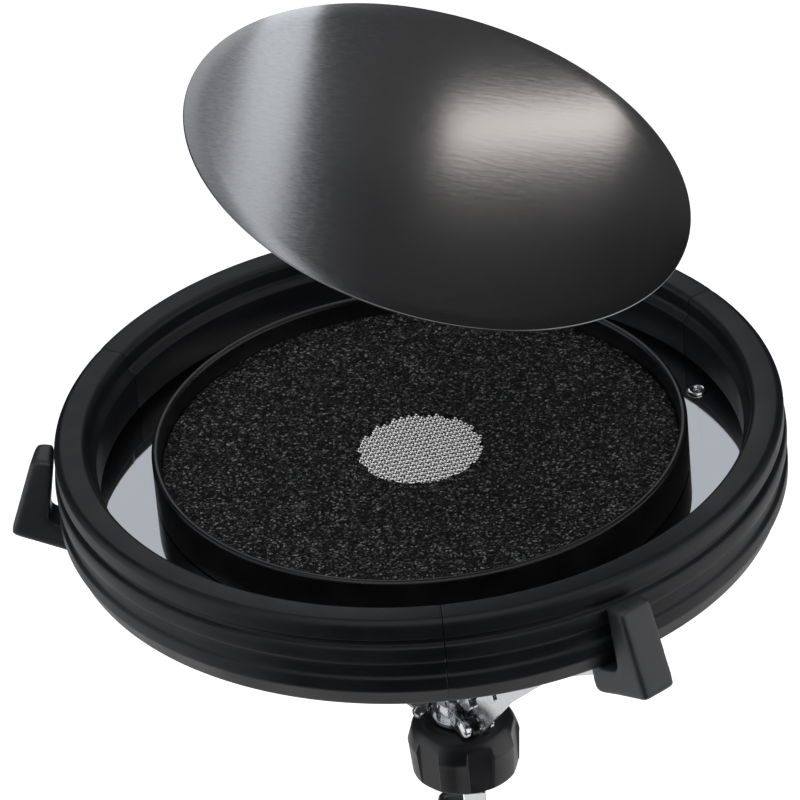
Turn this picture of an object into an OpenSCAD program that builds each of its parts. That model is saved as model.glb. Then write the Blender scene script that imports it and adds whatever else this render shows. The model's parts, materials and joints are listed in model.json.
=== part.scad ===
// Practice pad on the basket head of a snare stand. A rubber hoop in three segments holds a polished
// base plate. A cup on the plate holds a foam disc with a mat of steel beads at its centre, and a thin
// striking disc lies on them; it is drawn lifted off and tilted. Three rubber claws on hinged arms grip
// the hoop. Turning the grip knob moves the collar along the spindle, and the arms swing on their links.
// Millimetres, +Z up. The origin is the centre of the stand tube's lower end, on the tube's axis.
// Heights named _z on the pad and the basket are measured from the hoop's top face; most are negative.

/* [Stand] */
// Height of the hoop's top face above the tube's lower end
hoop_top = 345; // [340:1:420]
// Outer radius of the stand tube
tube_r = 9.5; // [9:0.1:9.5]
// Radius of the tube's turned-down end in the tilter
spigot_r = 9.2; // [9:0.1:9.3]
// Wall of the stand tube
tube_wall = 1.5; // [1.2:0.1:2.5]
// Height of the tilter's pivot
pivot_z = -246; // [-248:1:-245]
// Radius of the tilter's ears
ear_r = 14.5; // [13:0.5:14.5]

/* [Hoop] */
// How far the pad's axis lies from the basket's axis, along X
pad_x = -9; // [-10:0.5:0]
// Outer radius of the hoop's top lip
hoop_r = 178; // [177:0.5:178]
// Inner radius at the hoop's top edge
hoop_in_r = 162; // [161:0.5:163]
// Height of the hoop
hoop_h = 49; // [48:0.5:49]
// Direction of the front seam, seen from above
seam_az = 271; // [260:1:280]
// Width of the seams between the hoop's segments
seam_gap = 0.4; // [0.2:0.1:1]

/* [Plate and cup] */
// Level of the plate's upper face
plate_z = -32.5; // [-33:0.5:-32]
// Thickness of the plate
plate_t = 3; // [2:0.5:3]
// Outer radius of the cup
cup_r = 131; // [129:0.5:132]
// Wall of the cup
cup_wall = 4; // [3.5:0.5:4]
// Level of the cup's rim
rim_z = -9.3; // [-10:0.1:-8]
// Level of the foam's upper face
foam_z = -20; // [-21:0.5:-19]
// Radius of the bead mat
bead_mat_r = 31.5; // [28:0.5:34]

/* [Striking disc] */
// Radius of the striking disc
disc_r = 123.5; // [120:0.5:125]
// Thickness of the striking disc
disc_t = 1; // [0.8:0.1:1.5]
// Tilt of the disc where it is held lifted
disc_tilt = 19.07; // [5:0.1:25]
// Direction towards which the lifted disc leans
lean_az = -19.67; // [-30:0.5:30]
// Distance from the pad's axis to the axis about which the disc swings off
swing_r = 498; // [450:1:600]

/* [Basket] */
// Radius of the threaded spindle
spindle_r = 8; // [8:0.1:8]
// Distance of the arm pins from the spindle's axis
arm_pin_r = 20; // [20:0.5:20.5]
// Level of the arm pins
arm_pin_z = -174.5; // [-175:0.5:-174.5]
// Distance of the link pins from the spindle's axis
link_pin_r = 19; // [18.5:0.5:19]
// Level of the link pins
link_pin_z = -160; // [-160.5:0.5:-160]
// Distance of the link studs from the spindle's axis
stud_r = 44; // [43.5:0.5:44]
// Level of the link studs
stud_z = -142; // [-142.5:0.5:-142]
// Distance of the claws' origins from the pad's axis
grip_r = 181; // [181:0.1:181.5]
// Width of the rubber claws
claw_w = 19; // [17:0.5:20]
// How far the left, front and back claws are turned on their arms, seen from above
claw_twist = [-7.7, 11, 0];
// Directions of the left, front and back arms from the basket's axis
arm_az = [176.7, 296.7, 56.7];

/* [Knob] */
// Radius of the grip knob at its shoulder
knob_r = 28.3; // [28:0.1:28.5]
// Radius of the grip knob at its foot
knob_foot_r = 27; // [26.5:0.1:28]
// Number of flat recesses round the knob
recesses = 6; // [5:1:7]
// Direction of the first recess
recess_az = 45.3; // [0:0.1:60]
// Distance of each recess's floor from the knob's axis
recess_floor = 25.9; // [25.5:0.1:26.4]
// Width of each recess's floor
recess_w = 12; // [10:0.5:13]
// Level of the knob's top
knob_top_z = -180.6; // [-180.8:0.1:-180.6]
// Level of the knob's lower face
knob_base_z = -212; // [-212.5:0.5:-210]

/* [Hidden] */

$fn = 96;
smooth = 240;               // facets round the hoop, cup and discs in the preview
run_gap = 0.05;             // radial gap where a shaft turns in its hole
fit_gap = 0.02;             // radial gap where a shaft stays put in its hole
// Where each claw's origin lies along its arm, and how much that is more than the pad's radius asks.
claw_at = [for (az = arm_az) pad_x * cos(az) + sqrt(pow(grip_r, 2) - pow(pad_x * sin(az), 2))];
reach = [for (at = claw_at) at - grip_r];
seg_az = [seam_az, seam_az + 120, seam_az + 240];
wall_r = 158;               // inner wall of the hoop above the plate
plate_r = 165.5;
groove_r = 166;
cup_floor_t = 2;
eyelet_at = [139, 48.5];
cup_screw_ring = 60;
plate_t_arm = 1.8;          // side plates of an arm
arm_gap = 6.4;              // between the side plates
arm_half = arm_gap / 2 + plate_t_arm;
link_w = 6;
hub_ear_t = 2;
lug_in = 8.7;               // inner faces of the collar's lugs, each on one side of its arm
lug_t = 2;
shoulder_in = 7;            // where the thick shoulder of an arm pin starts
spindle_z = -219.6;         // lower end of the spindle
pin_r = 2.5;
link_pin_rad = 2;
tip_back = 28;              // how far the arm's tip lies inward of the claw's origin
tip_z = -61;
tongue_slope = 8.5;         // rise of the tongue that enters the claw
tongue_h = 4;
tongue_l = 41;

// Points of an arc in the plane of an outline.
function arc(x, y, r, from, to, n = 8) =
    [for (i = [0:n]) [x + r * cos(from + (to - from) * i / n), y + r * sin(from + (to - from) * i / n)]];

module on_pad() {
    translate([pad_x, 0, hoop_top]) children();
}

module on_basket() {
    translate([0, 0, hoop_top]) children();
}

// Children are drawn with +X pointing out along arm k.
module on_arm(k) {
    on_basket() rotate([0, 0, arm_az[k]]) children();
}

// Extrudes an outline in the plane of an arm, X outwards and Y up, to a plate of thickness t at y.
module arm_plane(t, y = 0) {
    translate([0, y + t / 2, 0]) rotate([90, 0, 0]) linear_extrude(t) children();
}

// A shaft across an arm, centred on the arm's plane.
module cross_pin(at, r, l) {
    translate([at[0], 0, at[1]]) rotate([90, 0, 0]) cylinder(r = r, h = l, center = true);
}

module ring(r_out, r_in, z0, z1) {
    translate([0, 0, z0]) difference() {
        cylinder(r = r_out, h = z1 - z0);
        translate([0, 0, -1]) cylinder(r = r_in, h = z1 - z0 + 2);
    }
}

// ---------------------------------------------------------------- stand tube and tilter

tube_top = hoop_top - 275;

module stand_tube() {
    shoulder_z = 55;
    color("silver") {
        ring(tube_r, tube_r - tube_wall, 0, shoulder_z);
        ring(spigot_r, tube_r - tube_wall, shoulder_z, tube_top);
    }
}

module tube_plug() {
    plug_l = 12;
    color([0.1, 0.1, 0.11]) cylinder(r = tube_r - tube_wall, h = plug_l);
}

// Ear that turns about the X axis at the pivot, between x0 and x1.
module tilter_disc(x0, x1) {
    translate([x0, 0, pivot_z]) rotate([0, 90, 0]) cylinder(r = ear_r, h = x1 - x0);
}

module pivot_hole(r) {
    translate([-30, 0, pivot_z]) rotate([0, 90, 0]) cylinder(r = r, h = 60);
}

module tilter_base() {
    socket_r = tube_r + 4;
    left = -15.8;
    face = -2.9;
    neck_z = -263;
    soft = 4;
    wide = face - left;
    color([0.13, 0.13, 0.14]) difference() {
        on_basket() union() {
            translate([left, 0, pivot_z]) rotate([0, 90, 0]) rotate_extrude()
                polygon(concat([[0, 0]], arc(ear_r - soft, soft, soft, -90, 0), [[ear_r, wide], [0, wide]]));
            translate([left + soft, -9, -272]) cube([wide - soft, 18, 26]);
            translate([0, 0, -288]) cylinder(r = socket_r, h = 288 + neck_z);
            translate([left + soft, -9, -275]) cube([-left - soft, 18, 12]);
        }
        on_basket() translate([face, -ear_r - 1.5, neck_z + 0.1]) cube([20, 40, 30]);
        on_basket() pivot_hole(3 + run_gap);
        translate([0, 0, tube_top - 30]) cylinder(r = spigot_r + fit_gap, h = 30);
        on_basket() translate([0, 0, -281]) rotate([90, 0, 0]) cylinder(r = 2.5 + fit_gap, h = 40);
    }
}

module tube_screw() {
    color("silver") on_basket() translate([0, 0, -281]) {
        rotate([90, 0, 0]) translate([0, 0, spigot_r + 0.05]) cylinder(r = 2.5, h = 7.5);
        rotate([90, 0, 0]) translate([0, 0, tube_r + 4.2]) cylinder(r = 4.5, h = 4);
    }
}

// Head of the tilter: an ear beside the base's ear, under a round plate that holds the spindle.
module tilter_ear() {
    left = -2.3;
    right = 8.4;
    color("silver") difference() {
        on_basket() union() {
            tilter_disc(left, right);
            translate([left, -ear_r, pivot_z]) cube([right - left, 2 * ear_r, -220.3 - pivot_z]);
            translate([0, 0, -220.3]) cylinder(r = 11.5, h = 3.1);
        }
        on_basket() pivot_hole(3 + run_gap);
        on_basket() translate([0, 0, spindle_z - 0.02]) cylinder(r = spindle_r + fit_gap, h = 20);
    }
}

module lock_bolt() {
    color("silver") on_basket() translate([0, 0, pivot_z]) rotate([0, 90, 0]) {
        translate([0, 0, -23]) cylinder(r = 3, h = 32);
        translate([0, 0, 8.6]) cylinder(r = 6, h = 4, $fn = 6);
    }
}

// Lever nut that clamps the ears. It hangs down at rest.
module lock_wing() {
    color([0.08, 0.08, 0.09]) on_basket() translate([-16.2, 0, pivot_z]) difference() {
        union() {
            rotate([0, -90, 0]) cylinder(r = 8, h = 10);
            translate([-10, -3.5, -30]) cube([5, 7, 30]);
            translate([-10, 0, -30]) rotate([0, 90, 0]) cylinder(r = 3.5, h = 5);
        }
        translate([1, 0, 0]) rotate([0, -90, 0]) cylinder(r = 3 + fit_gap, h = 8);
    }
}

// ---------------------------------------------------------------- basket

module spindle() {
    color("silver") on_basket() translate([0, 0, spindle_z]) cylinder(r = spindle_r, h = -147.9 - spindle_z);
}

// Three pairs of ears hold the links.
module hub() {
    ear_mid = arm_half + 0.2 + hub_ear_t / 2;
    color([0.8, 0.8, 0.82]) difference() {
        union() {
            on_basket() translate([0, 0, -165.5]) cylinder(r = 12.5, h = 14.5);
            for (k = [0:2]) on_arm(k) for (s = [-1, 1])
                arm_plane(hub_ear_t, s * ear_mid) union() {
                    translate([link_pin_r, link_pin_z]) circle(r = 4.5);
                    translate([8, link_pin_z - 4.5]) square([link_pin_r - 8, 9]);
                }
        }
        on_basket() translate([0, 0, -170]) cylinder(r = spindle_r + fit_gap, h = 25);
        for (k = [0:2]) on_arm(k) cross_pin([link_pin_r, link_pin_z], link_pin_rad + fit_gap, 20);
    }
}

module link_pins() {
    span = 2 * (arm_half + 0.2 + hub_ear_t);
    color("silver") for (k = [0:2]) on_arm(k) cross_pin([link_pin_r, link_pin_z], link_pin_rad, span);
}

module cap_nut() {
    color("silver") on_basket() difference() {
        union() {
            translate([0, 0, -150.9]) cylinder(r = 12.5, h = 7, $fn = 6);
            translate([0, 0, -143.9]) cylinder(r1 = 9.5, r2 = 6, h = 4);
        }
        translate([0, 0, -151.5]) cylinder(r = spindle_r + fit_gap, h = 3.7);
    }
}

// Rubber cap that keeps a drum's shell or this plate from touching the nut.
module hub_cap() {
    color([0.07, 0.07, 0.08]) on_basket() translate([0, 0, -139.8]) cylinder(r = 5, h = 3.3);
}

// Sleeve with a small flange and three lugs that hold the arm pins.
module collar() {
    foot_z = knob_top_z + 1.2;
    color([0.8, 0.8, 0.82]) difference() {
        on_basket() union() {
            translate([0, 0, foot_z]) cylinder(r = 13, h = -169 - foot_z);
            translate([0, 0, foot_z]) cylinder(r = 15.5, h = 2);
            for (k = [0:2]) rotate([0, 0, arm_az[k]]) arm_plane(lug_t, -lug_in - lug_t / 2) union() {
                translate([arm_pin_r, arm_pin_z]) circle(r = 4.8);
                translate([4, arm_pin_z - 4.8]) square([arm_pin_r - 4, 9.6]);
            }
        }
        on_basket() translate([0, 0, -190]) cylinder(r = spindle_r + run_gap, h = 30);
        for (k = [0:2]) on_arm(k) {
            cross_pin([arm_pin_r, arm_pin_z], 6.3, 2 * arm_half + 0.6);
            cross_pin([arm_pin_r, arm_pin_z], pin_r + fit_gap, 30);
        }
    }
}

// A stretch of an arm pin from y0 to y1 across the arm.
module pin_length(r, y0, y1) {
    translate([0, (y0 + y1) / 2, 0]) cross_pin([arm_pin_r, arm_pin_z], r, y1 - y0);
}

// Each pin has a wide head outside its lug, a shoulder inside it, and a small head beyond the arm.
module arm_pins() {
    lug_out = lug_in + lug_t;
    color("silver") for (k = [0:2]) on_arm(k) {
        pin_length(pin_r, -lug_out - 0.2, arm_half + 0.2);
        pin_length(4.7, -lug_out - 1.5, -lug_out - 0.1);
        pin_length(3.6, -lug_in + 0.1, -shoulder_in);
        pin_length(3.6, arm_half + 0.1, arm_half + 1.1);
    }
}

// A black ring on each arm pin, between its shoulder and the arm.
module pin_spacers() {
    color([0.1, 0.1, 0.11]) for (k = [0:2]) on_arm(k) difference() {
        pin_length(4.8, -shoulder_in + 0.05, -arm_half - 0.1);
        cross_pin([arm_pin_r, arm_pin_z], pin_r + run_gap, 30);
    }
}

module thrust_washer() {
    color([0.1, 0.1, 0.1]) on_basket()
        ring(12.6, spindle_r + 0.3, knob_top_z + 0.1, knob_top_z + 1.1);
}

// Low dome, a soft shoulder and a skirt that narrows to the foot, with flat recesses for the fingers.
module grip_knob() {
    out = 34;
    half = recess_w / 2;
    color([0.1, 0.1, 0.11]) on_basket() difference() {
        rotate_extrude() polygon(concat(
            [[11.05, knob_top_z], [17, knob_top_z - 0.2], [20.5, knob_top_z - 0.7],
             [knob_r - 5.1, knob_top_z - 1.8], [knob_r - 3.1, knob_top_z - 3.8],
             [knob_r - 1.7, knob_top_z - 6.4], [knob_r - 0.7, knob_top_z - 9.4],
             [knob_r - 0.15, knob_top_z - 11.4], [knob_r, knob_top_z - 12.4],
             [knob_r - 0.1, knob_top_z - 13.4]],
            arc(knob_foot_r - 1.2, knob_base_z + 1.2, 1.2, 0, -90, 4),
            [[11.05, knob_base_z]]));
        for (i = [0:recesses - 1]) rotate([0, 0, recess_az + i * 360 / recesses])
            translate([0, 0, knob_base_z - 1]) linear_extrude(knob_top_z - knob_base_z + 2)
                polygon([[recess_floor, -half], [recess_floor, half],
                         [out, half + out - recess_floor], [out, -half - out + recess_floor]]);
    }
}

module knob_insert() {
    color("goldenrod") on_basket() ring(11, spindle_r + run_gap, knob_base_z, knob_top_z);
}

// Outline of a side plate of arm k: round at the pin, bent above the stud, round at the tip.
// The plate away from the lug is cut back by trim along its lower edge, near the pin.
module arm_outline(k, trim) {
    d = reach[k];
    tip = claw_at[k] - tip_back;
    union() {
        polygon([
            [arm_pin_r + 5 - 0.75 * trim, arm_pin_z - 3.5 + 0.6 * trim],
            [62 - 0.7 * trim, -136 + 0.7 * trim], [112 + d * 0.6 - 0.3 * trim, -93 + 0.3 * trim],
            [tip + 3, tip_z - 5.2], [tip - 2.4, tip_z + 5.5],
            [108 + d * 0.6, -83], [57, -122], [35, -142],
            [arm_pin_r - 5.2 + 0.2 * trim, arm_pin_z + 3.9]
        ]);
        translate([arm_pin_r, arm_pin_z]) circle(r = 5.8 - 0.24 * trim);
        translate([tip, tip_z]) circle(r = 6);
    }
}

// The bar at an arm's tip that enters the claw, grown by gap for the claw's slot.
module tongue(k, gap = 0) {
    on_arm(k) translate([claw_at[k] - tip_back, 0, tip_z]) rotate([0, -tongue_slope, 0])
        translate([-8, -arm_gap / 2 - 0.1 - gap, -tongue_h / 2 - gap])
            cube([tongue_l + gap, arm_gap + 0.2 + 2 * gap, tongue_h + 2 * gap]);
}

// Channel arm: two side plates, a web along their upper edges, and the tongue.
module arm(k) {
    d = reach[k];
    tip = claw_at[k] - tip_back;
    color([0.8, 0.8, 0.82]) difference() {
        union() {
            on_arm(k) for (s = [-1, 1])
                arm_plane(plate_t_arm, s * (arm_gap + plate_t_arm) / 2) arm_outline(k, s < 0 ? 0 : 5.4);
            on_arm(k) arm_plane(arm_gap + 0.2) polygon([
                [57, -122], [108 + d * 0.6, -83], [tip - 2.4, tip_z + 5.5],
                [tip - 1.6, tip_z + 3.4], [108.8 + d * 0.6, -85.2], [58.4, -123.8]
            ]);
            tongue(k);
        }
        on_arm(k) {
            cross_pin([arm_pin_r, arm_pin_z], pin_r + run_gap, 20);
            cross_pin([stud_r, stud_z], link_pin_rad + fit_gap, 20);
            cross_pin([tip, tip_z], 2.2 + fit_gap, 20);
        }
    }
}

module claw_rivet(k) {
    span = 2 * arm_half + 0.1;
    at = [claw_at[k] - tip_back, tip_z];
    color("silver") on_arm(k) {
        cross_pin(at, 2.2, span);
        for (s = [-1, 1]) translate([0, s * (span / 2 + 0.6), 0]) cross_pin(at, 3.6, 1.2);
    }
}

module link_stud(k) {
    span = 2 * arm_half + 0.1;
    color("silver") on_arm(k) {
        cross_pin([stud_r, stud_z], link_pin_rad, span);
        for (s = [-1, 1]) translate([0, s * (span / 2 + 0.5), 0]) cross_pin([stud_r, stud_z], 3.4, 1);
    }
}

// Link from the hub to an arm's stud, with a loose eye at the stud.
module link(k) {
    run = stud_r - link_pin_r;
    rise = stud_z - link_pin_z;
    color([0.25, 0.25, 0.27]) on_arm(k) difference() {
        arm_plane(link_w) union() {
            translate([link_pin_r, link_pin_z]) circle(r = 4);
            translate([stud_r, stud_z]) circle(r = 4.8);
            translate([link_pin_r, link_pin_z]) rotate(atan2(rise, run))
                translate([0, -3]) square([norm([run, rise]), 6]);
        }
        cross_pin([link_pin_r, link_pin_z], link_pin_rad + run_gap, 12);
        cross_pin([stud_r, stud_z], link_pin_rad + 0.6, 12);
    }
}

// The room the hoop takes among the claws: their inner faces widen downwards and end in a shelf.
module hoop_room() {
    on_pad() rotate_extrude($fn = smooth) polygon([
        [0, 2], [hoop_r + 1.4, 2], [hoop_r + 1.4, -14], [hoop_r + 6.6, -45.5],
        [hoop_r - 3, -hoop_h - 0.15], [0, -hoop_h - 0.15]]);
}

// Rubber claw: a leaning upright outside the hoop, and a foot that runs in under it.
module claw(k) {
    color([0.12, 0.12, 0.13]) difference() {
        on_arm(k) translate([claw_at[k], 0, 0]) rotate([0, 0, claw_twist[k]])
            arm_plane(claw_w) polygon(concat(
                [[-6, -47], [-5, -11.2], [1.5, -10.6]],
                arc(6.2, -13, 2.6, 80, 18, 4), arc(19.3, -52.4, 3, 17, -72, 5),
                [[12, -57.8], [0, -61.8], [-10.4, -65.6]],
                arc(-12.4, -63.4, 2.6, -60, -165, 5), [[-16.2, -61], [-17.5, -52], [-17.5, -47]]));
        hoop_room();
        tongue(k, 0.05);
    }
}

// ---------------------------------------------------------------- pad

// Section of the hoop: rounded lip, groove, band, wide groove, band and bevelled foot on the outside;
// a lip, a small ledge, a smooth wall and the groove for the plate on the inside.
module hoop_outline() {
    z1 = plate_z - plate_t - 0.2;
    polygon(concat(
        arc(hoop_r - 4, -4, 4, 90, 0),
        [[hoop_r, -9], [hoop_r - 0.5, -9.6], [hoop_r - 2.2, -10], [hoop_r - 2.2, -13.6],
         [hoop_r + 0.4, -14.3], [hoop_r + 0.8, -16], [hoop_r + 1, -18.5], [hoop_r + 0.8, -22.4],
         [hoop_r + 0.2, -23.3], [hoop_r - 1.1, -24], [hoop_r - 1.1, -30.6], [hoop_r + 0.2, -31.3],
         [hoop_r + 0.7, -32.2], [hoop_r + 0.7, -38], [hoop_r + 0.2, -39.4],
         [hoop_r - 3.6, -hoop_h + 1], [hoop_r - 4.6, -hoop_h],
         [hoop_in_r, -hoop_h], [hoop_in_r - 2, -hoop_h + 2],
         [hoop_in_r - 2, z1], [groove_r, z1], [groove_r, plate_z + 0.2], [wall_r, plate_z + 0.2],
         [wall_r, -13], [wall_r + 0.6, -11.8], [hoop_in_r - 0.4, -9.6], [hoop_in_r, -8.6]],
        arc(hoop_in_r + 3.5, -3.5, 3.5, 180, 90)));
}

// One third of the hoop, starting at seam k.
module hoop_segment(k) {
    trim = asin(seam_gap / 2 / hoop_r);
    color([0.16, 0.16, 0.18]) on_pad() rotate([0, 0, seg_az[k] + trim])
        rotate_extrude(angle = 120 - 2 * trim, $fn = smooth) hoop_outline();
}

module base_plate() {
    color([0.75, 0.76, 0.78]) on_pad() difference() {
        translate([0, 0, plate_z - plate_t]) cylinder(r = plate_r, h = plate_t, $fn = smooth);
        translate([eyelet_at[0], eyelet_at[1], plate_z - plate_t - 1])
            cylinder(r = 3 + fit_gap, h = plate_t + 2);
        for (i = [0:2]) rotate([0, 0, 30 + i * 120])
            translate([cup_screw_ring, 0, plate_z - plate_t - 1]) cylinder(r = 2.05, h = plate_t + 2);
    }
}

module plate_eyelet() {
    color("silver") on_pad() translate([eyelet_at[0], eyelet_at[1], 0]) difference() {
        union() {
            translate([0, 0, plate_z - plate_t]) cylinder(r = 3, h = plate_t);
            rotate_extrude() polygon(concat(
                [[2, plate_z]], [[5.2, plate_z]],
                [for (i = [0:5]) [3.6 + 1.6 * cos(i * 30), plate_z + 1.3 * sin(i * 30) + 0.05]]));
        }
        translate([0, 0, plate_z - plate_t - 1]) cylinder(r = 1.9, h = plate_t + 4);
    }
}

module cup_screws() {
    color("silver") on_pad() for (i = [0:2]) rotate([0, 0, 30 + i * 120]) translate([cup_screw_ring, 0, 0]) {
        translate([0, 0, plate_z - plate_t]) cylinder(r = 2, h = plate_t + cup_floor_t);
        translate([0, 0, plate_z - plate_t - 2.4]) cylinder(r = 4, h = 2.4);
    }
}

module pad_cup() {
    in_r = cup_r - cup_wall;
    lip = cup_wall / 2;
    color([0.13, 0.13, 0.14]) on_pad() difference() {
        rotate_extrude($fn = smooth) polygon(concat(
            [[0, plate_z], [cup_r, plate_z]],
            arc(cup_r - lip, rim_z - lip, lip, 0, 180, 10),
            [[in_r, plate_z + cup_floor_t], [0, plate_z + cup_floor_t]]));
        for (i = [0:2]) rotate([0, 0, 30 + i * 120])
            translate([cup_screw_ring, 0, plate_z - 1]) cylinder(r = 2.05, h = cup_floor_t + 2);
    }
}

bead_pocket = 2;

module foam_disc() {
    z0 = plate_z + cup_floor_t + 0.05;
    color([0.2, 0.2, 0.21]) on_pad() difference() {
        translate([0, 0, z0]) cylinder(r = cup_r - cup_wall - 0.1, h = foam_z - z0, $fn = smooth);
        translate([0, 0, foam_z - bead_pocket]) cylinder(r = bead_mat_r + 0.1, h = bead_pocket + 1);
    }
}

module bead_mat() {
    color([0.85, 0.85, 0.86]) on_pad()
        translate([0, 0, foam_z - bead_pocket]) cylinder(r = bead_mat_r, h = bead_pocket + 0.4);
}

// The disc is drawn where it is held off the pad. Swung back by disc_tilt it lies on the beads.
module striking_disc() {
    swing_axis = [-sin(lean_az), cos(lean_az), 0];
    pole = [swing_r * cos(lean_az), swing_r * sin(lean_az), 0];
    color([0.35, 0.35, 0.36]) on_pad() translate(pole) rotate(a = disc_tilt, v = swing_axis)
        translate(-pole) translate([0, 0, foam_z + 0.6]) cylinder(r = disc_r, h = disc_t, $fn = smooth);
}

stand_tube();
tube_plug();
tilter_base();
tube_screw();
tilter_ear();
spindle();
hub();
link_pins();
cap_nut();
hub_cap();
lock_bolt();
lock_wing();
collar();
arm_pins();
pin_spacers();
thrust_washer();
grip_knob();
knob_insert();
arm(0);  // arm_left
claw(0);  // claw_left
claw_rivet(0);  // claw_rivet_left
link_stud(0);  // link_stud_left
link(0);  // link_left
arm(1);  // arm_front
claw(1);  // claw_front
claw_rivet(1);  // claw_rivet_front
link_stud(1);  // link_stud_front
link(1);  // link_front
arm(2);  // arm_back
claw(2);  // claw_back
claw_rivet(2);  // claw_rivet_back
link_stud(2);  // link_stud_back
link(2);  // link_back
hoop_segment(0);  // hoop_right
hoop_segment(1);  // hoop_rear
hoop_segment(2);  // hoop_left
base_plate();
plate_eyelet();
cup_screws();
pad_cup();
foam_disc();
bead_mat();
striking_disc();
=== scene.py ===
"""Looks for the practice pad: detailed pieces, procedural materials, floor, light and camera."""
import json
import math
import random

import bmesh
import bpy
from mathutils import Matrix, Vector

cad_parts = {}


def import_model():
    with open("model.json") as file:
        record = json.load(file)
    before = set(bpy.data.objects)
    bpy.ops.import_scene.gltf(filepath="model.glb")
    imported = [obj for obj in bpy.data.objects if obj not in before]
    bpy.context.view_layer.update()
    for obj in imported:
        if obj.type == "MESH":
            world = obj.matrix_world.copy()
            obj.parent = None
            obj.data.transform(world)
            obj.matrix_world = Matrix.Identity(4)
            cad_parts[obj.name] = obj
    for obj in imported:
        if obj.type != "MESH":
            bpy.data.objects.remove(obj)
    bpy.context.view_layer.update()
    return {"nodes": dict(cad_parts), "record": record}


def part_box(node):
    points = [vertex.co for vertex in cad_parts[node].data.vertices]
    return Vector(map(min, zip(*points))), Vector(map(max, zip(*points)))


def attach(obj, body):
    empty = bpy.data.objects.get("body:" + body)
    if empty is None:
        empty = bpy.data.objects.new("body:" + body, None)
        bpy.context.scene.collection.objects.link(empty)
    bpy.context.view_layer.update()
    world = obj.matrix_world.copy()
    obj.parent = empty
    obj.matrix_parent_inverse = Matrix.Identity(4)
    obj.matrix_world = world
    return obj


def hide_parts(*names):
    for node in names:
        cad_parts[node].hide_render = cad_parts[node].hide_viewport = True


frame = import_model()
nodes = frame["nodes"]

MM = 0.001
TAU = 2 * math.pi
SIDES = ("left", "front", "back")       # the three arms of the basket

# ---------------------------------------------------------------- places, read from the frame

hoop_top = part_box("hoop_right")[1].z


def levels(node):
    """Bottom and top of a CAD node, in millimetres from the hoop's top face."""
    low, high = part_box(node)
    return (low.z - hoop_top) / MM, (high.z - hoop_top) / MM


def half_width(node):
    """Half the width of a CAD node along X, in millimetres: its radius, where it is round."""
    low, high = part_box(node)
    return (high.x - low.x) / 2 / MM


rim_z = levels("pad_cup")[1]
plate_bottom_z, plate_z = levels("base_plate")
foam_floor_z, foam_z = levels("foam_disc")
knob_base_z, knob_top_z = levels("grip_knob")
cup_radius = half_width("pad_cup")
foam_radius = half_width("foam_disc")
bead_radius = half_width("bead_mat")
knob_radius = half_width("grip_knob")

cup_lo, cup_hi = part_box("pad_cup")
PAD = Vector(((cup_lo.x + cup_hi.x) / 2, (cup_lo.y + cup_hi.y) / 2, hoop_top))    # centre of the pad's top
HEAD = Vector((0, 0, hoop_top))                                                  # on the stand's axis

# ---------------------------------------------------------------- mesh helpers


def arc(x, y, r, start, end, n=8):
    """Points of an arc, in degrees, in the plane of an outline."""
    steps = [math.radians(start + (end - start) * i / n) for i in range(n + 1)]
    return [(x + r * math.cos(a), y + r * math.sin(a)) for a in steps]


def new_object(name, mesh, body, slot, replaced=(), sharp=40, look=None):
    """Links a mesh as a piece that rides on a body and stands for the replaced CAD nodes.

    Edges that turn by more than sharp degrees stay crisp. Its material is look's where that is given, or else
    its slot's.
    """
    mesh.validate()
    mesh.shade_smooth()
    mesh.set_sharp_from_angle(angle=math.radians(sharp))
    mesh.materials.clear()
    mesh.materials.append(MATERIALS[look or slot])
    piece = bpy.data.objects.new(name, mesh)
    bpy.context.scene.collection.objects.link(piece)
    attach(piece, body)
    if replaced:
        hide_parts(*replaced)
    return piece


def mesh_from(name, verts, faces, centre):
    """A mesh from points in millimetres about a centre in metres, with outward normals."""
    mesh = bpy.data.meshes.new(name)
    mesh.from_pydata([tuple(centre + Vector(v) * MM) for v in verts], [], faces)
    tidy = bmesh.new()
    tidy.from_mesh(mesh)
    bmesh.ops.remove_doubles(tidy, verts=tidy.verts, dist=1e-6)
    bmesh.ops.recalc_face_normals(tidy, faces=tidy.faces)
    tidy.to_mesh(mesh)
    tidy.free()
    return mesh


def revolve(name, outline, centre, steps=256, start=0.0, span=360.0, shrink=0.0, radius=None):
    """Turns a closed outline of (r, z) about the vertical axis, from start over span degrees.

    shrink pulls the two end sections in, and radius(r, angle) may change a point's distance.
    """
    full = span >= 360
    count = steps if full else steps + 1
    middle = (sum(p[0] for p in outline) / len(outline), sum(p[1] for p in outline) / len(outline))
    verts = []
    for i in range(count):
        a = math.radians(start + span * i / steps)
        pull = shrink if not full and i in (0, steps) else 0.0
        for r, z in outline:
            away = Vector((r - middle[0], z - middle[1]))
            away = away * (1 - pull / max(away.length, pull))
            r1, z1 = middle[0] + away.x, middle[1] + away.y
            if radius:
                r1 = radius(r1, a)
            verts.append((r1 * math.cos(a), r1 * math.sin(a), z1))
    n = len(outline)
    faces = []
    for i in range(steps):
        j = (i + 1) % count
        for k in range(n):
            m = (k + 1) % n
            faces.append((i * n + k, j * n + k, j * n + m, i * n + m))
    if not full:
        faces.append(tuple(range(n)))
        faces.append(tuple(steps * n + k for k in reversed(range(n))))
    return mesh_from(name, verts, faces, centre)


def modified(mesh, kind, **settings):
    """The mesh after one modifier, given by its type and settings."""
    holder = bpy.data.objects.new("holder", mesh)
    bpy.context.scene.collection.objects.link(holder)
    modifier = holder.modifiers.new("step", kind)
    for key, value in settings.items():
        setattr(modifier, key, value)
    graph = bpy.context.evaluated_depsgraph_get()
    result = bpy.data.meshes.new_from_object(holder.evaluated_get(graph))
    bpy.data.objects.remove(holder)
    return result


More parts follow.
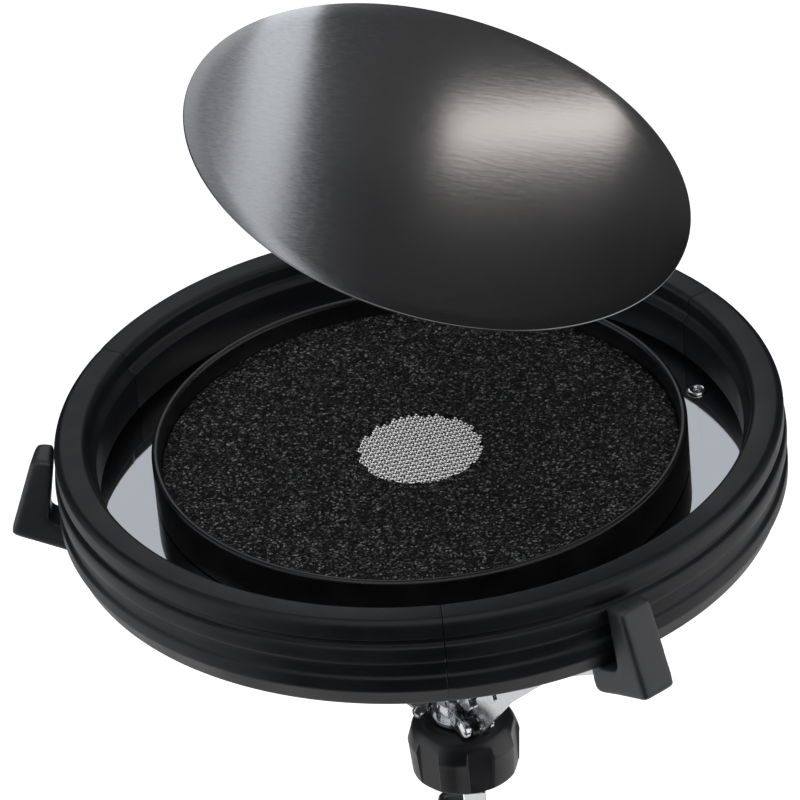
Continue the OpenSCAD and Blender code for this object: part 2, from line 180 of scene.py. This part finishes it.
def arm_bearing(side):
    """Azimuth of an arm, and how far out the rivet of its claw is, in metres."""
    low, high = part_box("claw_rivet_" + side)
    rivet = (low + high) / 2
    return math.atan2(rivet.y, rivet.x), math.hypot(rivet.x, rivet.y)


# ---------------------------------------------------------------- material helpers


class Shader:
    """A procedural material, built up by short calls. Sizes of textures are in millimetres."""

    def __init__(self, name, colour, roughness=0.5, metallic=0.0, **sockets):
        self.material = bpy.data.materials.new(name)
        self.material.use_nodes = True
        self.tree = self.material.node_tree
        self.surface = self.tree.nodes["Principled BSDF"]
        self.surface.inputs["Base Color"].default_value = (*colour, 1)
        self.surface.inputs["Roughness"].default_value = roughness
        self.surface.inputs["Metallic"].default_value = metallic
        for key, value in sockets.items():
            self.surface.inputs[key.replace("_", " ")].default_value = value
        self.place = self.node("ShaderNodeTexCoord").outputs["Object"]
        self.normal = None

    def node(self, kind, **settings):
        """A new node with the given settings."""
        made = self.tree.nodes.new(kind)
        for key, value in settings.items():
            setattr(made, key, value)
        return made

    def link(self, source, target):
        self.tree.links.new(source, target)

    def mapped(self, scale=(1, 1, 1), turn=(0, 0, 0), shift=(0, 0, 0)):
        """The place on the object, stretched, turned and shifted."""
        mapping = self.node("ShaderNodeMapping")
        mapping.inputs["Scale"].default_value = scale
        mapping.inputs["Rotation"].default_value = turn
        mapping.inputs["Location"].default_value = shift
        self.link(self.place, mapping.inputs["Vector"])
        return mapping.outputs["Vector"]

    def noise(self, size, detail=3.0, rough=0.5, scale=(1, 1, 1), turn=(0, 0, 0), vector=None):
        """Noise whose features are about size millimetres."""
        tex = self.node("ShaderNodeTexNoise")
        tex.inputs["Scale"].default_value = 1 / (size * MM)
        tex.inputs["Detail"].default_value = detail
        tex.inputs["Roughness"].default_value = rough
        self.link(vector or self.mapped(scale, turn), tex.inputs["Vector"])
        return tex.outputs["Fac"]

    def cells(self, size):
        """Scattered cells of about size millimetres: distance from the middle, and a colour for each."""
        tex = self.node("ShaderNodeTexVoronoi")
        tex.inputs["Scale"].default_value = 1 / (size * MM)
        self.link(self.place, tex.inputs["Vector"])
        return tex.outputs["Distance"], tex.outputs["Color"]

    def specks(self, spacing, reach):
        """White specks about spacing millimetres apart; reach is their size as a share of the spacing."""
        return self.ramp(self.cells(spacing)[0], (0.0, 1.0), (reach, 0.0))

    def ramp(self, source, *stops):
        """Maps a value through (position, value or colour) stops."""
        made = self.node("ShaderNodeValToRGB")
        band = made.color_ramp.elements
        while len(band) < len(stops):
            band.new(0.5)
        for element, (position, value) in zip(band, stops):
            element.position = position
            element.color = (*value, 1) if isinstance(value, tuple) else (value, value, value, 1)
        self.link(source, made.inputs["Fac"])
        return made.outputs["Color"]

    def math(self, operation, a, b=None):
        """One sum on one or two values, each a socket or a number."""
        made = self.node("ShaderNodeMath", operation=operation)
        for socket, value in zip(made.inputs, (a, b)):
            if isinstance(value, (int, float)):
                socket.default_value = value
            elif value is not None:
                self.link(value, socket)
        return made.outputs[0]

    def blend_colour(self, factor, a, b):
        """Goes from colour a to colour b as the factor goes from 0 to 1."""
        made = self.node("ShaderNodeMix", data_type="RGBA")
        sockets = [s for s in made.inputs if s.type == "RGBA"]
        for socket, value in zip(sockets, (a, b)):
            if isinstance(value, tuple):
                socket.default_value = (*value, 1)
            else:
                self.link(value, socket)
        self.link(factor, made.inputs["Factor"])
        return [s for s in made.outputs if s.type == "RGBA"][0]

    def colour(self, source):
        self.link(source, self.surface.inputs["Base Color"])

    def roughness(self, source):
        self.link(source, self.surface.inputs["Roughness"])

    def bump(self, height, depth, strength):
        """Adds relief of about depth millimetres, on top of any before it."""
        made = self.node("ShaderNodeBump")
        made.inputs["Distance"].default_value = depth * MM
        made.inputs["Strength"].default_value = strength
        self.link(height, made.inputs["Height"])
        if self.normal:
            self.link(self.normal, made.inputs["Normal"])
        self.normal = made.outputs["Normal"]
        self.link(self.normal, self.surface.inputs["Normal"])

    def radius(self, centre):
        """Distance from a vertical axis, and height, as a vector (r, z, 0)."""
        shifted = self.mapped(shift=(-centre.x, -centre.y, 0))
        parts = self.node("ShaderNodeSeparateXYZ")
        self.link(shifted, parts.inputs[0])
        squares = [self.math("MULTIPLY", parts.outputs[i], parts.outputs[i]) for i in (0, 1)]
        r = self.math("SQRT", self.math("ADD", *squares))
        joined = self.node("ShaderNodeCombineXYZ")
        self.link(r, joined.inputs[0])
        self.link(parts.outputs[2], joined.inputs[1])
        return joined.outputs[0]


# ---------------------------------------------------------------- materials


def lighter(base, gain, lift):
    """A colour a little lighter than base."""
    return tuple(c * gain + lift for c in base)


def rubber(name, base, rough, gloss, centre=None):
    """Moulded rubber: fine grain, a faint bloom, dust, and turned rings where it has an axis."""
    s = Shader(name, base, rough, Specular_IOR_Level=gloss)
    bloom = s.noise(35, 4, 0.6)
    grain = s.noise(0.9, 2, 0.5)
    tone = s.ramp(bloom, (0.35, base), (0.72, lighter(base, 1.45, 0.004)))
    dust = s.math("MULTIPLY", s.specks(5.0, 0.045), 0.28)
    s.colour(s.blend_colour(dust, tone, (0.25, 0.26, 0.28)))
    s.roughness(s.ramp(bloom, (0.3, rough - 0.07), (0.75, rough + 0.09)))
    if centre:
        rings = s.noise(0.9, 3, 0.6, vector=s.radius(centre))
        s.bump(rings, 0.05, 0.5)
    s.bump(grain, 0.06, 0.6)
    s.bump(s.noise(0.25, 2, 0.5), 0.02, 0.6)
    return s.material


def moulded(name, base, rough):
    """Satin moulded plastic with a fine spark-eroded grain."""
    s = Shader(name, base, rough, Specular_IOR_Level=0.5)
    shade = s.noise(18, 3, 0.5)
    s.colour(s.ramp(shade, (0.35, base), (0.7, lighter(base, 1.3, 0.003))))
    s.roughness(s.ramp(shade, (0.3, rough - 0.05), (0.7, rough + 0.07)))
    s.bump(s.noise(0.35, 2, 0.6), 0.025, 0.6)
    return s.material


def plated(name, base, rough, rounded):
    """Plated steel: slightly uneven, with fine rub marks and edges rounded by some tenths of a mm."""
    s = Shader(name, base, rough, 1.0)
    wear = s.noise(6, 4, 0.6)
    marks = s.noise(0.8, 2, 0.6, scale=(1, 1, 0.08))
    s.roughness(s.ramp(wear, (0.35, rough), (0.75, rough + 0.1)))
    s.colour(s.ramp(wear, (0.3, base), (0.85, tuple(c * 0.92 for c in base))))
    edge = s.node("ShaderNodeBevel", samples=4)
    edge.inputs["Radius"].default_value = rounded * MM
    s.normal = edge.outputs["Normal"]
    s.bump(marks, 0.01, 0.25)
    s.bump(wear, 0.03, 0.12)
    return s.material


def steel_beads():
    """Bright steel balls, a little cloudy."""
    s = Shader("beads", (0.9, 0.9, 0.9), 0.1, 1.0)
    cloud = s.noise(2.2, 3, 0.6)
    s.colour(s.ramp(cloud, (0.3, (0.86, 0.85, 0.85)), (0.7, (1.0, 0.99, 0.98))))
    s.roughness(s.ramp(cloud, (0.3, 0.09), (0.7, 0.15)))
    s.bump(s.noise(0.5, 2, 0.5), 0.01, 0.3)
    return s.material


def mirror_plate():
    """Polished steel sheet with hairline scratches, haze and dust."""
    steel = (0.46, 0.47, 0.49)
    s = Shader("mirror_plate", steel, 0.03, 1.0)
    scratch_a = s.ramp(s.noise(1.2, 1, 0.4, scale=(1, 0.02, 1), turn=(0, 0, 0.5)), (0.70, 0.0), (0.76, 1.0))
    scratch_b = s.ramp(s.noise(1.5, 1, 0.4, scale=(0.02, 1, 1), turn=(0, 0, 0.9)), (0.72, 0.0), (0.78, 1.0))
    haze = s.noise(60, 3, 0.5)
    marks = s.math("MAXIMUM", scratch_a, scratch_b)
    dust = s.math("MULTIPLY", s.specks(7.0, 0.04), 0.8)
    s.colour(s.blend_colour(dust, steel, (0.06, 0.06, 0.06)))
    s.roughness(s.math("ADD", s.ramp(haze, (0.35, 0.02), (0.7, 0.06)), s.math("MULTIPLY", marks, 0.12)))
    s.bump(marks, 0.004, 0.3)
    return s.material


def foam_grains():
    """Coarse black granulate: small grains of differing shade, a few of them bright."""
    s = Shader("foam", (0.02, 0.02, 0.021), 0.8, Specular_IOR_Level=0.12)
    height, tint = s.cells(1.0)
    each = s.node("ShaderNodeSeparateColor")
    s.link(tint, each.inputs[0])
    grey = s.ramp(each.outputs[0], (0.0, (0.004, 0.004, 0.0045)), (0.45, (0.012, 0.012, 0.0125)),
                  (0.75, (0.045, 0.045, 0.047)), (0.93, (0.15, 0.15, 0.153)), (1.0, (0.4, 0.4, 0.4)))
    clump = s.ramp(s.noise(5, 3, 0.6), (0.3, 0.7), (0.7, 1.0))
    s.colour(s.blend_colour(clump, (0.006, 0.006, 0.0065), grey))
    s.bump(height, 0.4, 0.7)
    s.bump(s.noise(0.7, 2, 0.6), 0.25, 0.6)
    return s.material


def disc_laminate():
    """Dark brushed laminate: fine brushing one way, and a faint ripple along it."""
    s = Shader("disc_laminate", (0.24, 0.24, 0.245), 0.24, 1.0)
    brushing = math.radians(-28)
    turn = (0, 0, brushing)
    brushed = s.noise(1.0, 4, 0.65, scale=(0.03, 1, 1), turn=turn)
    ripple = s.noise(2.6, 1, 0.3, scale=(0.02, 1, 1), turn=turn)
    s.colour(s.ramp(brushed, (0.3, (0.215, 0.215, 0.22)), (0.7, (0.265, 0.265, 0.27))))
    s.roughness(s.ramp(brushed, (0.3, 0.2), (0.7, 0.25)))
    s.bump(ripple, 0.05, 0.5)
    s.bump(brushed, 0.002, 0.4)
    return s.material


def brass_insert():
    """Turned brass with fine rings about the stand's axis."""
    s = Shader("brass_insert", (0.62, 0.45, 0.18), 0.28, 1.0)
    turned = s.noise(0.5, 2, 0.5, vector=s.radius(Vector((0, 0, 0))))
    s.roughness(s.ramp(turned, (0.3, 0.2), (0.7, 0.36)))
    s.bump(turned, 0.02, 0.4)
    return s.material


def black_casting():
    """Black enamelled casting with a slightly lumpy skin."""
    s = Shader("black_casting", (0.018, 0.018, 0.019), 0.38, 0.0, Coat_Weight=0.4, Coat_Roughness=0.25)
    s.bump(s.noise(1.6, 4, 0.6), 0.12, 0.5)
    s.roughness(s.ramp(s.noise(12), (0.3, 0.32), (0.7, 0.5)))
    return s.material


MATERIALS = {
    "hoop_rubber": rubber("hoop_rubber", (0.008, 0.0085, 0.011), 0.42, 0.3, PAD),
    "claw_rubber": rubber("claw_rubber", (0.03, 0.031, 0.035), 0.4, 0.5),
    "cup_plastic": moulded("cup_plastic", (0.005, 0.005, 0.006), 0.3),
    "black_plastic": moulded("black_plastic", (0.012, 0.0125, 0.015), 0.34),
    "chrome_steel": plated("chrome_steel", (0.78, 0.79, 0.81), 0.08, 0.5),
    "polished_steel": plated("polished_steel", (0.80, 0.81, 0.83), 0.1, 0.4),
    "threaded_steel": plated("threaded_steel", (0.5, 0.5, 0.52), 0.2, 0.2),
    "dark_steel": plated("dark_steel", (0.16, 0.16, 0.18), 0.25, 0.3),
    "black_casting": black_casting(),
    "brass_insert": brass_insert(),
    "mirror_plate": mirror_plate(),
    "foam": foam_grains(),
    "beads": steel_beads(),
    "disc_laminate": disc_laminate(),
}

for subpart in frame["record"]["subparts"]:
    node_mesh = nodes[subpart["node"]].data
    node_mesh.materials.clear()
    node_mesh.materials.append(MATERIALS[subpart["material_slot"]])

# ---------------------------------------------------------------- hoop


def hoop_outline():
    """The hoop's section with rounded edges, as (r, z) from the pad's axis and top face."""
    lip = 178.0
    inner = 162.0
    foot = -49.0
    return [
        *arc(lip - 4, -4, 4, 90, 0, 10),
        (lip, -8.4), *arc(lip - 1.0, -9.0, 1.0, 0, -80, 4),
        (lip - 2.0, -10.2), (lip - 2.2, -10.8), (lip - 2.2, -13.0), (lip - 1.4, -13.8),
        (lip + 0.2, -14.2), (lip + 0.6, -14.8), (lip + 0.85, -16.5), (lip + 1.0, -18.5), (lip + 0.9, -21),
        (lip + 0.7, -22.4), (lip + 0.1, -23.3), (lip - 0.9, -23.9), (lip - 1.1, -24.6),
        (lip - 1.1, -30.0), (lip - 0.8, -30.8), (lip + 0.2, -31.3), (lip + 0.65, -32.1), (lip + 0.7, -33),
        (lip + 0.7, -37.4), (lip + 0.6, -38.4), (lip + 0.2, -39.4), (lip - 0.4, -40.4),
        (lip - 3.2, foot + 1.8), (lip - 3.9, foot + 0.6), (lip - 4.9, foot), (inner + 0.6, foot),
        (inner - 1.4, foot + 1.2), (inner - 2, foot + 2.5), (inner - 2, plate_bottom_z - 0.15),
        (166, plate_bottom_z - 0.15), (166, plate_z + 0.15),
        (158.4, plate_z + 0.15), (158, plate_z + 0.6), (158, -13.6), *arc(158.9, -13, 0.9, 180, 130, 3),
        (160.4, -11.0), (161.5, -9.9), (161.95, -9.0), (162, -8.2),
        *arc(inner + 3.5, -3.5, 3.5, 180, 90, 10),
    ]


def hoop_segment(name, seam):
    """A third of the hoop from the azimuth of a seam on, with a fine gap at both ends."""
    gap = 0.07
    span = 120 - 2 * gap
    mesh = revolve(name, hoop_outline(), PAD, steps=110, start=seam + gap, span=span, shrink=0.22)
    new_object(name + "_skin", mesh, "pad", "hoop_rubber", [name], 50)


FIRST_SEAM = 271
for i, name in enumerate(("hoop_right", "hoop_rear", "hoop_left")):
    hoop_segment(name, FIRST_SEAM + i * 120)

# ---------------------------------------------------------------- cup, foam, beads


def cup_mesh():
    """The cup: a ring of floor under the foam, and a wall with a rounded lip."""
    wall = 4.0
    floor_hole = 62
    lip = wall / 2
    inner = cup_radius - wall
    outline = [
        (floor_hole, plate_z + 0.02), (cup_radius - 0.8, plate_z + 0.02), (cup_radius, plate_z + 0.8),
        *arc(cup_radius - lip, rim_z - lip, lip, 0, 180, 14),
        (inner, plate_z + 3.2), (inner - 1.0, plate_z + 2.1), (floor_hole, plate_z + 2.1),
    ]
    return revolve("pad_cup_shell", outline, PAD)


new_object("pad_cup_shell", cup_mesh(), "pad", "cup_plastic", ["pad_cup"], 45)


def foam_mesh():
    """A disc of foam whose open-grained face has real relief of some tenths of a millimetre."""
    rng = random.Random(7)
    around = 420
    rings = int(foam_radius / 1.3)
    edge = foam_radius - 0.6
    pocket = bead_radius - 0.7
    verts, faces, rows = [], [], []
    for i in range(rings + 1):
        r = pocket + (edge - pocket) * i / rings
        row = []
        for k in range(around):
            a = TAU * (k + 0.5 * (i % 2)) / around
            jitter = rng.uniform(-0.25, 0.25) if 0 < i < rings else 0
            z = foam_z + rng.uniform(-0.28, 0.12)
            row.append(len(verts))
            verts.append(((r + jitter) * math.cos(a), (r + jitter) * math.sin(a), z))
        rows.append(row)
    for z, r in ((foam_z - 1.2, foam_radius), (foam_floor_z, foam_radius), (foam_floor_z, pocket)):
        rows.append([len(verts) + k for k in range(around)])
        verts += [(r * math.cos(TAU * k / around), r * math.sin(TAU * k / around), z) for k in range(around)]
    rows.append(rows[0])
    for a, b in zip(rows, rows[1:]):
        for k in range(around):
            m = (k + 1) % around
            faces.append((a[k], a[m], b[m], b[k]))
    return mesh_from("foam_disc_grain", verts, faces, PAD)


foam = new_object("foam_disc_grain", foam_mesh(), "pad", "foam", ["foam_disc"], 180)


def bead_mesh():
    """Steel balls packed in rows, each a little out of place."""
    rng = random.Random(3)
    pitch = 3.8
    ball = pitch / 2 - 0.04
    reach = bead_radius - ball + 0.9
    level = foam_z - 1.5
    loose = 0.12
    turn = math.radians(12)
    centres = []
    for row in range(-10, 11):
        for column in range(-11, 12):
            x = (column + 0.5 * (row % 2)) * pitch
            y = row * pitch * math.sqrt(3) / 2
            if math.hypot(x, y) < reach:
                centres.append((x, y))
    build = bmesh.new()
    for x, y in centres:
        px = x * math.cos(turn) - y * math.sin(turn) + rng.uniform(-loose, loose)
        py = x * math.sin(turn) + y * math.cos(turn) + rng.uniform(-loose, loose)
        at = PAD + Vector((px, py, level + rng.uniform(-0.15, 0.1))) * MM
        bmesh.ops.create_icosphere(build, subdivisions=3, radius=ball * MM, matrix=Matrix.Translation(at))
    mesh = bpy.data.meshes.new("bead_mat_balls")
    build.to_mesh(mesh)
    build.free()
    return mesh


new_object("bead_mat_balls", bead_mesh(), "pad", "beads", ["bead_mat"], 180)


def bead_bed_mesh():
    """The dark bed under the balls, which fills the pocket in the foam."""
    middle = 0.02
    edge = bead_radius + 0.25
    top = foam_z - 2.2
    outline = [(middle, foam_floor_z), (edge, foam_floor_z), (edge, top), (middle, top)]
    return revolve("bead_bed", outline, PAD, steps=96)


new_object("bead_bed", bead_bed_mesh(), "pad", "foam", look="cup_plastic")

# ---------------------------------------------------------------- striking disc


def disc_mesh():
    """The lifted disc, built in the plane of its CAD node, with a rolled rim.

    Also gives its centre and its upward normal.
    """
    node = nodes["striking_disc"]
    middle = sum((v.co for v in node.data.vertices), Vector()) / len(node.data.vertices)
    widest = max(node.data.polygons, key=lambda p: p.area)
    normal = widest.normal if widest.normal.z > 0 else -widest.normal
    edge = max((v.co - middle).length for v in node.data.vertices) / MM
    half = 0.5
    roll = 0.4
    outline = [(edge * i / 12, half) for i in range(12)]
    outline += arc(edge - roll, half - roll, roll, 90, 0, 4)
    outline += arc(edge - roll, -half + roll, roll, 0, -90, 4)
    outline += [(edge * i / 12, -half) for i in range(11, -1, -1)]
    mesh = revolve("striking_disc_sheet", outline, Vector((0, 0, 0)))
    turn = Vector((0, 0, 1)).rotation_difference(normal).to_matrix().to_4x4()
    mesh.transform(Matrix.Translation(middle) @ turn)
    return mesh, middle, normal


disc_sheet, disc_middle, disc_normal = disc_mesh()
new_object("striking_disc_sheet", disc_sheet, "disc", "disc_laminate", ["striking_disc"], 30)

# ---------------------------------------------------------------- claws

CLAW_WIDTH = 19.0
CLAW_REACH = 28.0                       # from the rivet out to the claw's origin
CLAW_TWIST = {"left": -7.7, "front": 11.0, "back": 0.0}     # degrees off the arm's own direction


def claw_outline():
    """Side view of a claw: (distance outward from its origin, height from the hoop's top face)."""
    return [
        (-6, -47), (-5, -11.4), (1.5, -10.7), *arc(6.2, -13, 2.6, 80, 18, 5),
        *arc(19.3, -52.4, 3, 17, -72, 6), (12, -57.8), (0, -61.8), (-10.4, -65.6),
        *arc(-12.4, -63.4, 2.6, -60, -165, 5), (-16.2, -61), (-17.5, -52), (-17.5, -47),
    ]


def hoop_room():
    """The room the hoop takes among the claws."""
    outline = [(120, 6), (179.4, 6), (179.4, -14), (184.6, -45.5), (175, -49.15), (120, -49.15)]
    return revolve("hoop_room", outline, PAD, steps=360)


def claw(side):
    """A rubber claw: its side view drawn out, cut round by the hoop, and softened at every edge."""
    name = "claw_" + side
    azimuth, rivet = arm_bearing(side)
    along = rivet + CLAW_REACH * MM
    origin = Vector((along * math.cos(azimuth), along * math.sin(azimuth), hoop_top))
    outline = claw_outline()
    half = CLAW_WIDTH / 2
    verts = [(x, y, z) for y in (-half, half) for x, z in outline]
    n = len(outline)
    faces = [tuple(range(n)), tuple(range(2 * n - 1, n - 1, -1))]
    faces += [(k, (k + 1) % n, n + (k + 1) % n, n + k) for k in range(n)]
    mesh = mesh_from(name + "_solid", verts, faces, Vector((0, 0, 0)))
    facing = azimuth + math.radians(CLAW_TWIST[side])
    mesh.transform(Matrix.Translation(origin) @ Matrix.Rotation(facing, 4, "Z"))
    cutter = bpy.data.objects.new("hoop_room", hoop_room())
    bpy.context.scene.collection.objects.link(cutter)
    mesh = modified(mesh, "BOOLEAN", object=cutter, operation="DIFFERENCE", solver="EXACT")
    bpy.data.objects.remove(cutter)
    mesh = modified(mesh, "REMESH", mode="VOXEL", voxel_size=0.65 * MM)
    mesh = modified(mesh, "SMOOTH", factor=0.5, iterations=110)
    mesh.name = name + "_rubber"
    new_object(name + "_rubber", mesh, "arm_" + side, "claw_rubber", [name], 180)


for side in SIDES:
    claw(side)

# ---------------------------------------------------------------- arm pins

ARM_ROOT = (20.0, 0.0, -174.5)          # an arm's pin: outward, across, and up from the hoop's top


def pin_outline():
    """Half section of an arm pin: (r, distance across the arm), domed wide head first."""
    return [
        (0.01, -12.35), (1.6, -12.3), (3.0, -12.05), (4.0, -11.6), (4.5, -11.2), (4.6, -10.85),
        (2.45, -10.8), (2.45, -8.65), (3.5, -8.6), (3.58, -8.5), (3.58, -7.1), (3.5, -7.0),
        (2.45, -7.0), (2.45, 5.1), (3.55, 5.1), (3.5, 5.6), (2.8, 6.0), (1.4, 6.2), (0.01, 6.25),
    ]


def arm_pins_mesh():
    """The three pins, each lying across its arm at the arm's root."""
    lay = Matrix.Rotation(math.radians(-90), 4, "X")
    root = Matrix.Translation(Vector(ARM_ROOT) * MM)
    build = bmesh.new()
    for side in SIDES:
        azimuth, _ = arm_bearing(side)
        one = revolve("pin", pin_outline(), Vector((0, 0, 0)), steps=64)
        one.transform(Matrix.Translation(HEAD) @ Matrix.Rotation(azimuth, 4, "Z") @ root @ lay)
        build.from_mesh(one)
    mesh = bpy.data.meshes.new("arm_pins_domed")
    build.to_mesh(mesh)
    build.free()
    return mesh


new_object("arm_pins_domed", arm_pins_mesh(), "collar", "chrome_steel", ["arm_pins"], 35)

# ---------------------------------------------------------------- grip knob and spindle


def knob_mesh():
    """Low dome, soft shoulder and a narrowing skirt, with six flat recesses for the fingers."""
    recesses = 6
    first = math.radians(45.3)          # azimuth of one recess
    floor = 25.9                        # distance of a recess's flat from the axis
    half = 6.0                          # half the width of that flat
    soft = 0.15                         # rounding of the edge where it is cut
    foot = 27.0
    bore = 11.0

    def recessed(r, a):
        """The distance from the axis after the recess nearest to the angle a has been cut."""
        step = TAU / recesses
        off = (a - first + step / 2) % step - step / 2
        slope = math.tan(abs(off))
        if slope * floor <= half:
            hollow = floor / math.cos(off)
        else:
            beyond = (floor * slope - half) / (1 - slope)
            hollow = math.hypot(floor + beyond, half + beyond)
        gap = r - hollow
        if gap <= -soft:
            return r
        if gap >= soft:
            return hollow
        return r - (gap + soft) ** 2 / (4 * soft)

    top = knob_top_z
    edge = knob_radius
    outline = [
        (bore, top), (14, top - 0.05), (17, top - 0.2), (19, top - 0.42), (20.5, top - 0.75),
        (22, top - 1.25), (edge - 5.1, top - 1.9), (edge - 4.0, top - 2.8), (edge - 3.1, top - 3.85),
        (edge - 2.3, top - 5.1), (edge - 1.7, top - 6.4), (edge - 1.15, top - 7.9), (edge - 0.7, top - 9.4),
        (edge - 0.35, top - 10.5), (edge - 0.12, top - 11.5), (edge, top - 12.4), (edge - 0.08, top - 13.2),
        (edge - 0.3, top - 15), (edge - 0.6, top - 20), (edge - 0.95, top - 25),
        *arc(foot - 1.6, knob_base_z + 1.6, 1.6, 0, -90, 7),
        (bore + 7, knob_base_z), (bore + 6, knob_base_z + 1.0), (bore, knob_base_z + 1.0),
    ]
    return revolve("grip_knob_recessed", outline, HEAD, steps=1440, radius=recessed)


new_object("grip_knob_recessed", knob_mesh(), "knob", "black_plastic", ["grip_knob"], 35)


def spindle_mesh():
    """The threaded spindle: a helical ridge that runs out towards two plain, bevelled ends."""
    low, high = levels("spindle")
    pitch = 2.0
    depth = 0.7
    crest = 7.98
    plain = 1.0
    run_out = 2.0
    chamfer = 0.8
    rows = int((high - low) / 0.25)
    around = 48
    verts = []
    for i in range(rows + 1):
        z = low + (high - low) * i / rows
        ends = min(z - low, high - z)
        cut = depth * min(1.0, max(0.0, (ends - plain) / run_out))
        for k in range(around):
            phase = (z / pitch - k / around) % 1.0
            tooth = abs(phase - 0.5) * 2
            r = crest - cut * (1 - tooth)
            if ends < chamfer:
                r = crest - (chamfer - ends)
            a = TAU * k / around
            verts.append((r * math.cos(a), r * math.sin(a), z))
    faces = [tuple(range(around)), tuple(rows * around + k for k in reversed(range(around)))]
    for i in range(rows):
        for k in range(around):
            m = (k + 1) % around
            faces.append((i * around + k, i * around + m, (i + 1) * around + m, (i + 1) * around + k))
    return mesh_from("spindle_thread", verts, faces, HEAD)


new_object("spindle_thread", spindle_mesh(), "head", "threaded_steel", ["spindle"], 25)

# ---------------------------------------------------------------- camera


def camera_at(elevation, distance, pitch, yaw, roll, lens):
    """A camera in front of the pad that looks at its top face's centre, but for small aiming angles."""
    e = math.radians(elevation)
    p, y, r = (math.radians(a) for a in (pitch, yaw, roll))
    forward = Vector((0, math.cos(p), -math.sin(p)))
    right = Vector((1, 0, 0))
    up = right.cross(forward)
    forward = forward * math.cos(y) + right * math.sin(y)
    right = forward.cross(up)
    right, up = right * math.cos(r) + up * math.sin(r), up * math.cos(r) - right * math.sin(r)
    camera = bpy.data.objects.new("camera", bpy.data.cameras.new("camera"))
    bpy.context.scene.collection.objects.link(camera)
    camera.data.lens = lens
    camera.data.sensor_width = 36
    camera.data.clip_end = 50
    place = PAD + Vector((0, -math.cos(e), math.sin(e))) * distance
    camera.matrix_world = Matrix.Translation(place) @ Matrix((right, up, -forward)).transposed().to_4x4()
    bpy.context.scene.camera = camera
    return camera


camera = camera_at(elevation=32.923, distance=3.1625, pitch=32.788, yaw=-0.142, roll=-5.051, lens=292.5)

# ---------------------------------------------------------------- floor and light


def floor():
    """A wide white floor well below the object. It is seen, but lights nothing and isn't mirrored."""
    size = 14.0
    low = -0.75
    mesh = bpy.data.meshes.new("floor")
    corners = [(-size, -size, low), (size, -size, low), (size, size, low), (-size, size, low)]
    mesh.from_pydata(corners, [], [(0, 1, 2, 3)])
    made = bpy.data.objects.new("floor", mesh)
    bpy.context.scene.collection.objects.link(made)
    s = Shader("floor_paper", (0.9, 0.9, 0.9), 0.9)
    s.surface.inputs["Emission Color"].default_value = (1, 1, 1, 1)
    s.surface.inputs["Emission Strength"].default_value = 1.0
    mesh.materials.append(s.material)
    made.visible_diffuse = False
    made.visible_glossy = False


floor()

WHITE = (1, 1, 1)
COOL = (0.93, 0.96, 1.0)
WARM = (1.0, 0.93, 0.88)


def card(name, place, target, width, height, glow, colour=WHITE, across=(1, 0, 0)):
    """A lit card at a place, turned towards a target, its width nearly along across. It isn't seen itself."""
    lamp = bpy.data.lights.new(name, "AREA")
    lamp.shape = "RECTANGLE"
    lamp.size = width
    lamp.size_y = height
    lamp.energy = glow * math.pi * width * height
    lamp.color = colour
    made = bpy.data.objects.new(name, lamp)
    bpy.context.scene.collection.objects.link(made)
    back = (Vector(place) - Vector(target)).normalized()
    side = (Vector(across) - back * back.dot(Vector(across))).normalized()
    up = back.cross(side)
    made.matrix_world = Matrix.Translation(place) @ Matrix((side, up, back)).transposed().to_4x4()
    made.visible_camera = False
    return made


def disc_card(name, u, v, width, height, glow, colour, turn=0.0):
    """A card near the lifted disc, where the disc mirrors it at (u, v) millimetres from its centre."""
    distance = 0.16
    along = (Vector((1, 0, 0)) - disc_normal * disc_normal.x).normalized()
    up = disc_normal.cross(along)
    spot = disc_middle + (along * u + up * v) * MM
    view = (spot - camera.matrix_world.translation).normalized()
    away = view.reflect(disc_normal)
    t = math.radians(turn)
    across = along * math.cos(t) + up * math.sin(t)
    return card(name, spot + away * distance, spot, width, height, glow, colour, across)


def world():
    """White to the camera, and a dim, even surround for the object."""
    made = bpy.data.worlds.new("studio")
    bpy.context.scene.world = made
    made.use_nodes = True
    tree = made.node_tree
    surround = tree.nodes["Background"]
    surround.inputs["Color"].default_value = (0.94, 0.97, 1.0, 1)
    surround.inputs["Strength"].default_value = 0.03
    seen = tree.nodes.new("ShaderNodeBackground")
    seen.inputs["Color"].default_value = (1, 1, 1, 1)
    seen.inputs["Strength"].default_value = 1.0
    path = tree.nodes.new("ShaderNodeLightPath")
    mix = tree.nodes.new("ShaderNodeMixShader")
    tree.links.new(path.outputs["Is Camera Ray"], mix.inputs[0])
    tree.links.new(surround.outputs[0], mix.inputs[1])
    tree.links.new(seen.outputs[0], mix.inputs[2])
    tree.links.new(mix.outputs[0], tree.nodes["World Output"].inputs[0])


world()
card("top_card", (0.0, -0.6, 1.9), PAD, 2.3, 2.2, 0.95)
card("left_card", (-1.7, -0.3, 0.5), PAD, 2.2, 2.2, 0.95, COOL, (0, 1, 0))
card("right_card", (1.7, -0.5, 0.45), PAD, 2.2, 2.2, 1.1, WHITE, (0, 1, 0))
card("back_card", (-0.1, 1.7, 1.5), PAD, 1.15, 1.1, 0.9, (0.92, 0.95, 1.0))
card("low_card", (0.0, 0.75, -0.65), (0.0, 0.75, 0.0), 4.4, 2.5, 0.7)
card("ear_card", (-0.01, -0.13, 0.03), (0.003, -0.0145, 0.1), 0.07, 0.07, 0.8)
disc_card("disc_fill", 10, 80, 0.34, 0.12, 0.09, WHITE)
disc_card("disc_band", -84, 0, 0.03, 0.3, 1.9, COOL)
disc_card("disc_glow", -122, 0, 0.05, 0.3, 0.4, COOL)
disc_card("disc_patch", 50, 40, 0.09, 0.025, 3.4, WARM, turn=20)

bpy.context.scene.view_settings.view_transform = "Standard"
bpy.context.scene.view_settings.look = "None"

bpy.context.view_layer.update()
